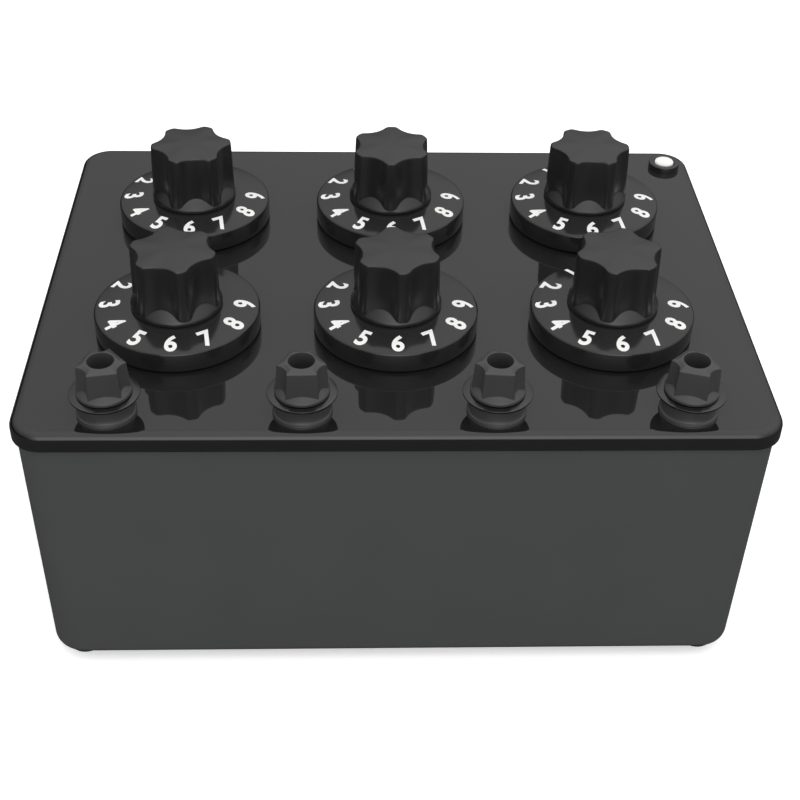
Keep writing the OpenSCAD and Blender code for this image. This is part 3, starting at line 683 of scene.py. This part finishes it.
@dataclass(frozen=True)
class Grip:
    """A fluted grip on a round sloping foot: the form of the knobs and of the post caps.

    Every ring has the same columns of points. A column's radius follows from how far it
    stands from the middle of a lobe. One lobe points to the back.

    Attributes:
        foot_rim: Height of the upright rim of the round foot.
        slope: Height of the slope above that rim, at the bottom of a flute.
        radius: Radius of the lobes at the top, with which the flutes are drawn.
        depth: Depth of a flute.
        span: Angle that a flute takes of the round, in degrees.
        count: Number of flutes.
        flare: How much wider the grip is at the foot.
        edge: Radius of the top edge.
        flat: Distance of a lobe's flat face from the axis, or zero for round lobes.
        columns: Points in each ring.
        waist_share: How far below the top edge the flare has half its width, as a share of the
            grip's height.
        edge_shares: How far in and down each ring of the top edge stands, as shares of its radius.
        base: Height of the underside, from the CAD nodes.
        foot_radius: Radius of the foot, from the CAD nodes.
        top: Height of the grip's top edge, from the CAD nodes.
    """

    foot_rim: float
    slope: float
    radius: float
    depth: float
    span: float
    count: int
    flare: float
    edge: float
    flat: float = 0.0
    columns: int = 72
    waist_share: float = 0.3
    edge_shares: tuple[tuple[float, float], ...] = ((0.12, 0.45), (0.45, 0.1), (1.0, 0.0))
    base: float = 0.0
    foot_radius: float = 0.0
    top: float = 0.0

    def kind(self, angle: float) -> int:
        """Returns which kind of column stands at an angle, counted from a lobe's middle."""
        period = 360 / self.count
        off = abs((math.degrees(angle) - 90 + period / 2) % period - period / 2)
        return int(off * self.columns / 360)

    def outline(self) -> tuple[float, ...]:
        """Returns the radius of each kind of column: the lobe's face, then the flute's arc."""
        half = math.radians(self.span / 2)
        reach = self.radius * math.cos(half) - (self.radius - self.depth)
        arc = (reach ** 2 + (self.radius * math.sin(half)) ** 2) / (2 * reach)
        centre = self.radius - self.depth + arc
        radii = []
        for kind in range(self.columns // (2 * self.count)):
            turn = math.radians((kind + 0.5) * 360 / self.columns)
            off = math.pi / self.count - turn
            if off > half:
                radii.append(self.flat / math.cos(turn) if self.flat else self.radius)
            else:
                radii.append(centre * math.cos(off) - math.sqrt(arc ** 2 - (centre * math.sin(off)) ** 2))
        return tuple(radii)

    def start(self, name: str, radius: float) -> bpy.types.Object:
        """Lays the first ring on the underside, with a point to each side of every lobe's middle."""
        piece = Turning(name, self.columns).start(radius, self.base)
        bpy.ops.transform.rotate(value=math.pi / self.columns, orient_axis="Z", center_override=(0, 0, 0))
        return piece

    def draw(self, piece: bpy.types.Object, radii: tuple[float, ...], heights: tuple[float, ...]) -> None:
        """Draws the last ring out to a new one with a radius and height for each kind of column."""
        bpy.ops.mesh.extrude_edges_move()
        mesh = bmesh.from_edit_mesh(piece.data)
        mesh.verts.index_update()
        kinds = {v.index: self.kind(math.atan2(v.co.y, v.co.x)) for v in mesh.verts if v.select}
        for kind, (radius, height) in enumerate(zip(radii, heights)):
            bpy.ops.mesh.select_all(action="DESELECT")
            mesh = bmesh.from_edit_mesh(piece.data)
            mesh.verts.ensure_lookup_table()
            chosen = [mesh.verts[k] for k, own in kinds.items() if own == kind]
            for vert in chosen:
                vert.select_set(True)
            bmesh.update_edit_mesh(piece.data)
            now = chosen[0].co
            grow = radius / math.hypot(now.x, now.y)
            rise = height - now.z
            bpy.ops.transform.resize(value=(grow, grow, 1), center_override=(0, 0, now.z))
            bpy.ops.transform.translate(value=(0, 0, rise))
        bpy.ops.mesh.select_all(action="DESELECT")
        mesh = bmesh.from_edit_mesh(piece.data)
        mesh.verts.ensure_lookup_table()
        for k in kinds:
            mesh.verts[k].select_set(True)
        mesh.select_flush(True)
        bmesh.update_edit_mesh(piece.data)

    def level(self, piece: bpy.types.Object, radii: tuple[float, ...], height: float) -> None:
        """Draws a level ring."""
        self.draw(piece, radii, (height,) * len(radii))

    def circle(self, piece: bpy.types.Object, radius: float, height: float) -> None:
        """Draws a round, level ring."""
        self.level(piece, (radius,) * len(self.outline()), height)

    def slope_height(self, radius: float) -> float:
        """Returns the height of the foot's slope at a radius."""
        run = self.foot_radius - (self.radius - self.depth + self.flare)
        return self.base + self.foot_rim + self.slope * (self.foot_radius - radius) / run

    def body(self, piece: bpy.types.Object) -> None:
        """Draws the foot and the fluted body, from the underside to the top edge."""
        soft = self.edge / 3
        lobes = self.outline()
        self.circle(piece, self.foot_radius - soft, self.base)
        self.circle(piece, self.foot_radius, self.base + soft)
        self.circle(piece, self.foot_radius, self.base + self.foot_rim - soft)
        self.circle(piece, self.foot_radius - soft / 2, self.base + self.foot_rim)
        wide = tuple(r + self.flare for r in lobes)
        just_out = tuple(min(r + soft, self.foot_radius - soft) for r in wide)
        self.draw(piece, just_out, tuple(self.slope_height(r) for r in just_out))
        self.draw(piece, wide, tuple(self.slope_height(r) for r in wide))
        self.draw(piece, wide, tuple(self.slope_height(r) + soft for r in wide))
        waist = self.top - self.edge - self.waist_share * (self.top - self.base)
        self.level(piece, tuple(r + self.flare / 2 for r in lobes), waist)
        self.level(piece, lobes, self.top - self.edge)
        for inward, down in self.edge_shares:
            self.level(piece, tuple(r - self.edge * inward for r in lobes), self.top - self.edge * down)

    def finish(self, piece: bpy.types.Object) -> None:
        """Rounds the cage and shades it."""
        apply_modifier(piece, "SUBSURF", levels=1, render_levels=1)
        smooth(piece, 50)


@dataclass
class Knobs:
    """The six knobs, with the hole for the set screw in the flute at the back.

    Attributes:
        turns: How far each knob stands round its dial, in degrees.
        form: Sizes of the grip.
        crown: How much higher the top is in its middle than at its edge.
        crown_shares: Radius and height of each ring of the domed top, as shares.
        start_share: Radius of the first ring under the foot, as a share of the foot's.
        screw_radius: Radius of the set screw's hole.
        screw_share: Height of the hole, as a share of the grip's.
        screw_angle: Angle of the flute that it lies in, from the X axis, in degrees.
        drill: Length of the drill, and how far its middle stands from the knob's axis.
    """

    turns: tuple[float, ...] = (-22, -2, 28, 16, 7, -17)
    form: Grip = Grip(foot_rim=1.5 * MM, slope=3.3 * MM, radius=13.8 * MM, depth=2.65 * MM, span=45,
                      count=6, flare=0.42 * MM, edge=0.8 * MM)
    crown: float = 0.7 * MM
    crown_shares: tuple[tuple[float, float], ...] = ((0.8, 0.3), (0.5, 0.8), (0.2, 0.98))
    start_share: float = 0.6
    screw_radius: float = 1.55 * MM
    screw_share: float = 0.42
    screw_angle: float = 60.0
    drill: float = 11.5 * MM

    def model(self) -> bpy.types.Object:
        """Models one knob round the Z axis."""
        seat_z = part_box("dial_1")[1].z
        low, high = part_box("knob_1")
        foot = (high.y - low.y) / 2
        grip = replace(self.form, base=seat_z, foot_radius=foot, top=high.z - self.crown)
        piece = grip.start("knob_pattern", foot * self.start_share)
        grip.body(piece)
        for share, rise in self.crown_shares:
            radii = tuple((r - grip.edge) * share for r in grip.outline())
            grip.level(piece, radii, grip.top + self.crown * rise)
        close_ends(False, grip.columns)
        grip.finish(piece)
        self.bore(piece, seat_z + (grip.top - seat_z) * self.screw_share)
        return piece

    def bore(self, piece: bpy.types.Object, height: float) -> None:
        """Bores the hole for the set screw into the flute beside the back lobe.

        Args:
            piece: The knob.
            height: Height of the hole's axis.
        """
        angle = math.radians(self.screw_angle)
        put_down()
        bpy.ops.mesh.primitive_cylinder_add(
            vertices=32, radius=self.screw_radius, depth=self.drill, rotation=(0, math.pi / 2, angle),
            location=(self.drill * math.cos(angle), self.drill * math.sin(angle), height))
        drill = bpy.context.object
        apply_modifier(piece, "BOOLEAN", operation="DIFFERENCE", object=drill, solver="EXACT")
        discard(drill)
        smooth(piece, 40)

    def build(self) -> None:
        """Models the knobs and cuts the hole for each set screw."""
        pattern = self.model()
        for number in SWITCHES:
            name = f"knob_{number}"
            knob = copy_to(pattern, f"knob_grip_{number}", middle(name), self.turns[number - 1])
            finish_piece(knob, f"switch_{number}", KNOB_PHENOLIC, "knob_plastic", name)
        discard(pattern)


@dataclass
class Posts:
    """The four binding posts: collar, clamp washer and screw cap.

    Attributes:
        turns: How far round each cap stands, in degrees. Half a turn faces a lobe to the front.
        sides: Points in each ring of a collar and a washer.
        mouth: Radius of the mouth in the cap's top.
        bore: Radius of the threaded bore under it.
        crown: How much higher a cap stands at its mouth than at its edge.
        form: Sizes of a cap's grip.
        lip: Radius of the edges of its mouth and bore.
        neck: Radius of the collar's neck in the panel.
        bell: Radius and height above the panel of the collar's rings, from its rim to its waist,
            in millimetres.
        seat: Radius of the collar's flat top under the washer.
        washer_bore: Radius of the washer's hole.
        washer_edge: Radius of the washer's edges.
    """

    turns: tuple[float, ...] = (190, 182, 175, 163)
    sides: int = 96
    mouth: float = 3.8 * MM
    bore: float = 3.1 * MM
    crown: float = 1.0 * MM
    form: Grip = Grip(foot_rim=1.1 * MM, slope=1.6 * MM, radius=7.45 * MM, depth=1.7 * MM, span=45,
                      count=3, flare=0.5 * MM, edge=0.35 * MM, flat=5.9 * MM, columns=120)
    lip: float = 0.25 * MM
    neck: float = 5.0 * MM
    bell: tuple[tuple[float, float], ...] = (
        (8.9, 0), (8.9, 0.85), (8.75, 1.15), (8.45, 1.3), (8.25, 1.5), (8.05, 2.0), (7.88, 2.8),
        (7.75, 3.8), (7.65, 5.0), (7.6, 6.3), (7.45, 6.75))
    seat: float = 7.1 * MM
    washer_bore: float = 3.3 * MM
    washer_edge: float = 0.15 * MM

    def build_collars(self) -> None:
        """Models the bell-shaped collars, from the neck in the panel to the seat of the washer."""
        neck_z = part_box("post_collars")[0].z
        panel_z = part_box("panel")[1].z
        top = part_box("clamp_washer_1")[0].z
        points = [(self.bore, neck_z), (self.neck, neck_z), (self.neck, panel_z)]
        points += [(r * MM, panel_z + h * MM) for r, h in self.bell]
        points += [(self.seat, top), (self.bore, top)]
        pattern = Turning("collar_pattern", self.sides).profile(points, closed=True)
        smooth(pattern, 35)
        collars = [copy_to(pattern, f"collar_{number}", middle(f"post_cap_{number}")) for number in POSTS]
        discard(pattern)
        collar_set = join(collars)
        collar_set.name = collar_set.data.name = "collar_set"
        finish_piece(collar_set, "root", CAP_PHENOLIC, "cap_plastic", "post_collars")

    def build_washers(self) -> None:
        """Models the clamp washers, stamped with slightly rounded edges."""
        low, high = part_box("clamp_washer_1")
        radius = (high.x - low.x) / 2
        points = [(self.washer_bore, low.z), (radius, low.z), (radius, high.z), (self.washer_bore, high.z)]
        pattern = Turning("washer_pattern", self.sides).profile(points, closed=True)
        apply_modifier(pattern, "BEVEL", width=self.washer_edge, segments=2, limit_method="ANGLE")
        smooth(pattern, 35)
        for number in POSTS:
            name = f"clamp_washer_{number}"
            washer = copy_to(pattern, f"washer_{number}", middle(name))
            finish_piece(washer, f"post_lift_{number}", AGED_NICKEL_AND_MOUTH_SHADE, "dull_nickel", name)
        discard(pattern)

    def cap(self) -> bpy.types.Object:
        """Models one cap round the Z axis, with three flat lobes and a mouth in its domed top."""
        low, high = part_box("post_cap_1")
        stud_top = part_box("post_studs")[1].z
        foot = (high.y - low.y) / 2
        grip = replace(self.form, base=low.z, foot_radius=foot, top=high.z - self.crown)
        piece = grip.start("cap_pattern", self.bore)
        grip.body(piece)
        lip = self.lip
        # Down the mouth to the stud's top, and on down the bore
        for radius, height in ((self.mouth + lip, high.z), (self.mouth, high.z - lip),
                               (self.mouth, stud_top + lip), (self.mouth, stud_top),
                               (self.bore, stud_top), (self.bore, stud_top - lip),
                               (self.bore, low.z + lip), (self.bore, low.z)):
            grip.circle(piece, radius, height)
        close_ends(True, grip.columns)
        grip.finish(piece)
        return piece

    def build(self) -> None:
        """Models the collars, washers and caps."""
        self.build_collars()
        self.build_washers()
        pattern = self.cap()
        for number in POSTS:
            name = f"post_cap_{number}"
            cap = copy_to(pattern, f"cap_grip_{number}", middle(name), self.turns[number - 1])
            finish_piece(cap, f"post_turn_{number}", CAP_PHENOLIC, "cap_plastic", name)
        discard(pattern)


@dataclass
class Seal:
    """The cup at the panel's back right corner, and the white compound that fills it.

    Attributes:
        bore: Radius of the hole in the cup's floor.
        floor: Thickness of that floor.
        wall: Thickness of the cup's wall.
        edge: Radius of the cup's rounded rim.
        sharp: Angle past which an edge of the cup is rounded, in degrees.
        dome_rise: Height of the compound's dome.
        dome_shares: Radius and height of each ring of the dome, as shares.
        cup_sides: Points in each ring of the cup.
        dome_sides: Points in each ring of the dome.
    """

    bore: float = 1.25 * MM
    floor: float = 0.6 * MM
    wall: float = 1.9 * MM
    edge: float = 0.7 * MM
    sharp: float = 80.0
    dome_rise: float = 1.0 * MM
    dome_shares: tuple[tuple[float, float], ...] = (
        (1.0, 0.0), (0.985, 0.2), (0.9, 0.42), (0.75, 0.66), (0.5, 0.87), (0.25, 0.97), (0.08, 1.0))
    cup_sides: int = 96
    dome_sides: int = 64

    def build(self) -> None:
        """Models the cup and the compound's dome."""
        place = middle("seal_cup")
        low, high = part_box("seal_cup")
        radius = (high.x - low.x) / 2
        inner = radius - self.wall
        points = [(self.bore, low.z), (radius, low.z), (radius, high.z), (inner, high.z),
                  (inner, low.z + self.floor), (self.bore, low.z + self.floor)]
        pattern = Turning("cup_pattern", self.cup_sides).profile(points, closed=True)
        apply_modifier(pattern, "BEVEL", width=self.edge, segments=4, limit_method="ANGLE",
                       angle_limit=math.radians(self.sharp))
        smooth(pattern, 35)
        finish_piece(copy_to(pattern, "seal_ring", place), "root", KNOB_PHENOLIC, "cap_plastic", "seal_cup")
        discard(pattern)
        low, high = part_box("seal_compound")
        dome = (high.x - low.x) / 2
        rise = self.dome_rise
        points = [(dome, low.z)] + [(dome * r, high.z - rise + rise * h) for r, h in self.dome_shares]
        pattern = Turning("dome_pattern", self.dome_sides).profile(points, closed=False)
        smooth(pattern, 50)
        finish_piece(copy_to(pattern, "seal_dome", place), "root", SEAL_COMPOUND, "seal_white",
                     "seal_compound")
        discard(pattern)


# Studio


@dataclass
class Studio:
    """Pale floor, white surroundings, one soft lamp and the camera.

    The camera sees white surroundings and bright paper. The light on the box is even, and its
    glossy surfaces mirror a dim floor and a soft box low in front.

    Attributes:
        camera_at: Place of the camera in millimetres from the panel's top centre.
        pitch: How far the camera looks down, in degrees.
        yaw: How far it looks to the right.
        roll: How far it leans.
        focal: Focal length in pixels of an image 800 pixels wide.
        image: Width of that image.
        floor_size: Side of the floor in metres.
        floor_paper: Colour of the floor, as the camera sees it.
        floor_dim: Its colour where it lights the box.
        floor_mirrored: Its colour as gloss sees it.
        floor_glow: Light that the floor gives off, which thins the shadow on it.
        even_light: Strength of the even light.
        wall_light: Strength of the light right above, as gloss sees it, which dims to the horizon.
        wall_lean: How much stronger it is on the right.
        box_at: Direction of the soft box low in front.
        box_light: Its strength.
        box_power: How fast it dims to all sides.
        lamp_at: Place of the lamp in metres.
        lamp_size: Side of the lamp in metres.
        lamp_power: Its power in watts.
        lamp_aim: Point that it faces, in metres.
    """

    camera_at: tuple[float, float, float] = (-16.2, -410.2, 265.5)
    pitch: float = 37.95
    yaw: float = 2.77
    roll: float = 1.61
    focal: float = 1437.5
    image: float = 800.0
    floor_size: float = 8.0
    floor_paper: str = "F4F4F4"
    floor_dim: str = "9A9A9A"
    floor_mirrored: str = "4A4A4A"
    floor_glow: float = 0.45
    even_light: float = 1.0
    wall_light: float = 1.3
    wall_lean: float = 0.25
    box_at: tuple[float, float, float] = (0.0, -0.956, 0.292)
    box_light: float = 2.0
    box_power: float = 8.0
    lamp_at: tuple[float, float, float] = (0.3, -0.5, 1.3)
    lamp_size: float = 0.8
    lamp_power: float = 2.0
    lamp_aim: tuple[float, float, float] = (0.0, 0.0, 0.08)

    def camera(self) -> None:
        """Sets up the camera."""
        data = bpy.data.cameras.new("camera")
        camera = bpy.data.objects.new("camera", data)
        bpy.context.collection.objects.link(camera)
        data.lens = self.focal * data.sensor_width / self.image
        pitch, yaw, roll = (math.radians(a) for a in (self.pitch, self.yaw, self.roll))
        ahead = Vector((math.sin(yaw) * math.cos(pitch), math.cos(yaw) * math.cos(pitch), -math.sin(pitch)))
        level = Vector((math.cos(yaw), -math.sin(yaw), 0))
        upright = level.cross(ahead)
        right = math.cos(roll) * level + math.sin(roll) * upright
        up = -math.sin(roll) * level + math.cos(roll) * upright
        turn = Matrix((right, up, -ahead)).transposed().to_4x4()
        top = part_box("panel")[1].z
        place = Vector(self.camera_at) * MM + Vector((0, 0, top))
        camera.matrix_world = Matrix.Translation(place) @ turn
        bpy.context.scene.camera = camera

    def floor(self) -> None:
        """Lays the pale floor, which the box's own surfaces see as the dim floor of a studio."""
        put_down()
        bpy.ops.mesh.primitive_plane_add(size=self.floor_size)
        floor = bpy.context.object
        floor.name = "floor"
        material = bpy.data.materials.new("floor_paper")
        material.use_nodes = True
        tree = material.node_tree
        paper = tree.nodes["Principled BSDF"]
        paper.inputs["Base Color"].default_value = linear(self.floor_paper)
        paper.inputs["Roughness"].default_value = 0.9
        paper.inputs["Emission Color"].default_value = (1, 1, 1, 1)
        paper.inputs["Emission Strength"].default_value = self.floor_glow
        path = add_node(tree, "ShaderNodeLightPath")
        tone = add_node(tree, "ShaderNodeMix", {6: linear(self.floor_dim), 7: linear(self.floor_mirrored)},
                        {0: path.outputs["Is Glossy Ray"]}, data_type="RGBA")
        dim = add_node(tree, "ShaderNodeBsdfDiffuse", None, {"Color": tone.outputs[2]})
        mix = add_node(tree, "ShaderNodeMixShader", None, {0: path.outputs["Is Camera Ray"]})
        tree.links.new(dim.outputs[0], mix.inputs[1])
        tree.links.new(paper.outputs[0], mix.inputs[2])
        tree.links.new(mix.outputs[0], tree.nodes["Material Output"].inputs["Surface"])
        floor.data.materials.append(material)

    def sky(self) -> None:
        """Surrounds the box with even light, and gives gloss a soft box low in front."""
        world = bpy.data.worlds.new("surroundings")
        world.use_nodes = True
        tree = world.node_tree
        path = add_node(tree, "ShaderNodeLightPath")
        ray = add_node(tree, "ShaderNodeTexCoord")
        side = add_node(tree, "ShaderNodeSeparateXYZ", None, {"Vector": ray.outputs["Generated"]})
        near = add_node(tree, "ShaderNodeVectorMath", {1: self.box_at}, {0: ray.outputs["Generated"]},
                        operation="DOT_PRODUCT")
        ahead = add_node(tree, "ShaderNodeMath", {1: 0.0}, {0: near.outputs["Value"]}, operation="MAXIMUM")
        spot = add_node(tree, "ShaderNodeMath", {1: self.box_power}, {0: ahead.outputs[0]},
                        operation="POWER")
        lean = add_node(tree, "ShaderNodeMath", {1: self.wall_lean}, {0: side.outputs["X"]},
                        operation="MULTIPLY")
        wall = add_node(tree, "ShaderNodeMath", {1: self.wall_light},
                        {0: side.outputs["Z"], 2: lean.outputs[0]}, operation="MULTIPLY_ADD")
        sheen = add_node(tree, "ShaderNodeMath", {1: self.box_light},
                         {0: spot.outputs[0], 2: wall.outputs[0]}, operation="MULTIPLY_ADD")
        even = add_node(tree, "ShaderNodeMix", {"B": self.even_light},
                        {"Factor": path.outputs["Is Diffuse Ray"], "A": sheen.outputs[0]})
        seen = add_node(tree, "ShaderNodeMix", {"B": 1.0},
                        {"Factor": path.outputs["Is Camera Ray"], "A": even.outputs[0]})
        tree.links.new(seen.outputs[0], tree.nodes["Background"].inputs["Strength"])
        tree.nodes["Background"].inputs["Color"].default_value = (1, 1, 1, 1)
        bpy.context.scene.world = world

    def lamp(self) -> None:
        """Hangs a square soft lamp above, which faces the box and shows in no gloss."""
        data = bpy.data.lights.new("lamp_above", "AREA")
        data.size = self.lamp_size
        data.energy = self.lamp_power
        lamp = bpy.data.objects.new("lamp_above", data)
        lamp.visible_glossy = False
        bpy.context.collection.objects.link(lamp)
        aim = Vector(self.lamp_aim) - Vector(self.lamp_at)
        turn = aim.to_track_quat("-Z", "Y").to_matrix().to_4x4()
        lamp.matrix_world = Matrix.Translation(self.lamp_at) @ turn

    def build(self) -> None:
        """Sets up the whole studio."""
        self.camera()
        self.floor()
        self.sky()
        self.lamp()
        bpy.context.scene.view_settings.view_transform = "Standard"


def dress_nodes() -> None:
    """Gives every CAD node that still shows the finish of its material."""
    for name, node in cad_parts.items():
        stem = name.rstrip("0123456789").rstrip("_")
        finish = NODE_FINISHES.get(name) or NODE_FINISHES[stem]
        node.data.materials.clear()
        node.data.materials.append(finish.make())


def main() -> None:
    """Builds the pieces in order."""
    logging.basicConfig(level=logging.INFO, format="%(message)s")
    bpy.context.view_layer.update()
    dress_nodes()
    case = Case()
    case.build_case()
    case.build_panel()
    Dial().build()
    Knobs().build()
    Posts().build()
    Seal().build()
    Studio().build()
    put_down()


if __name__ == "__main__":
    main()
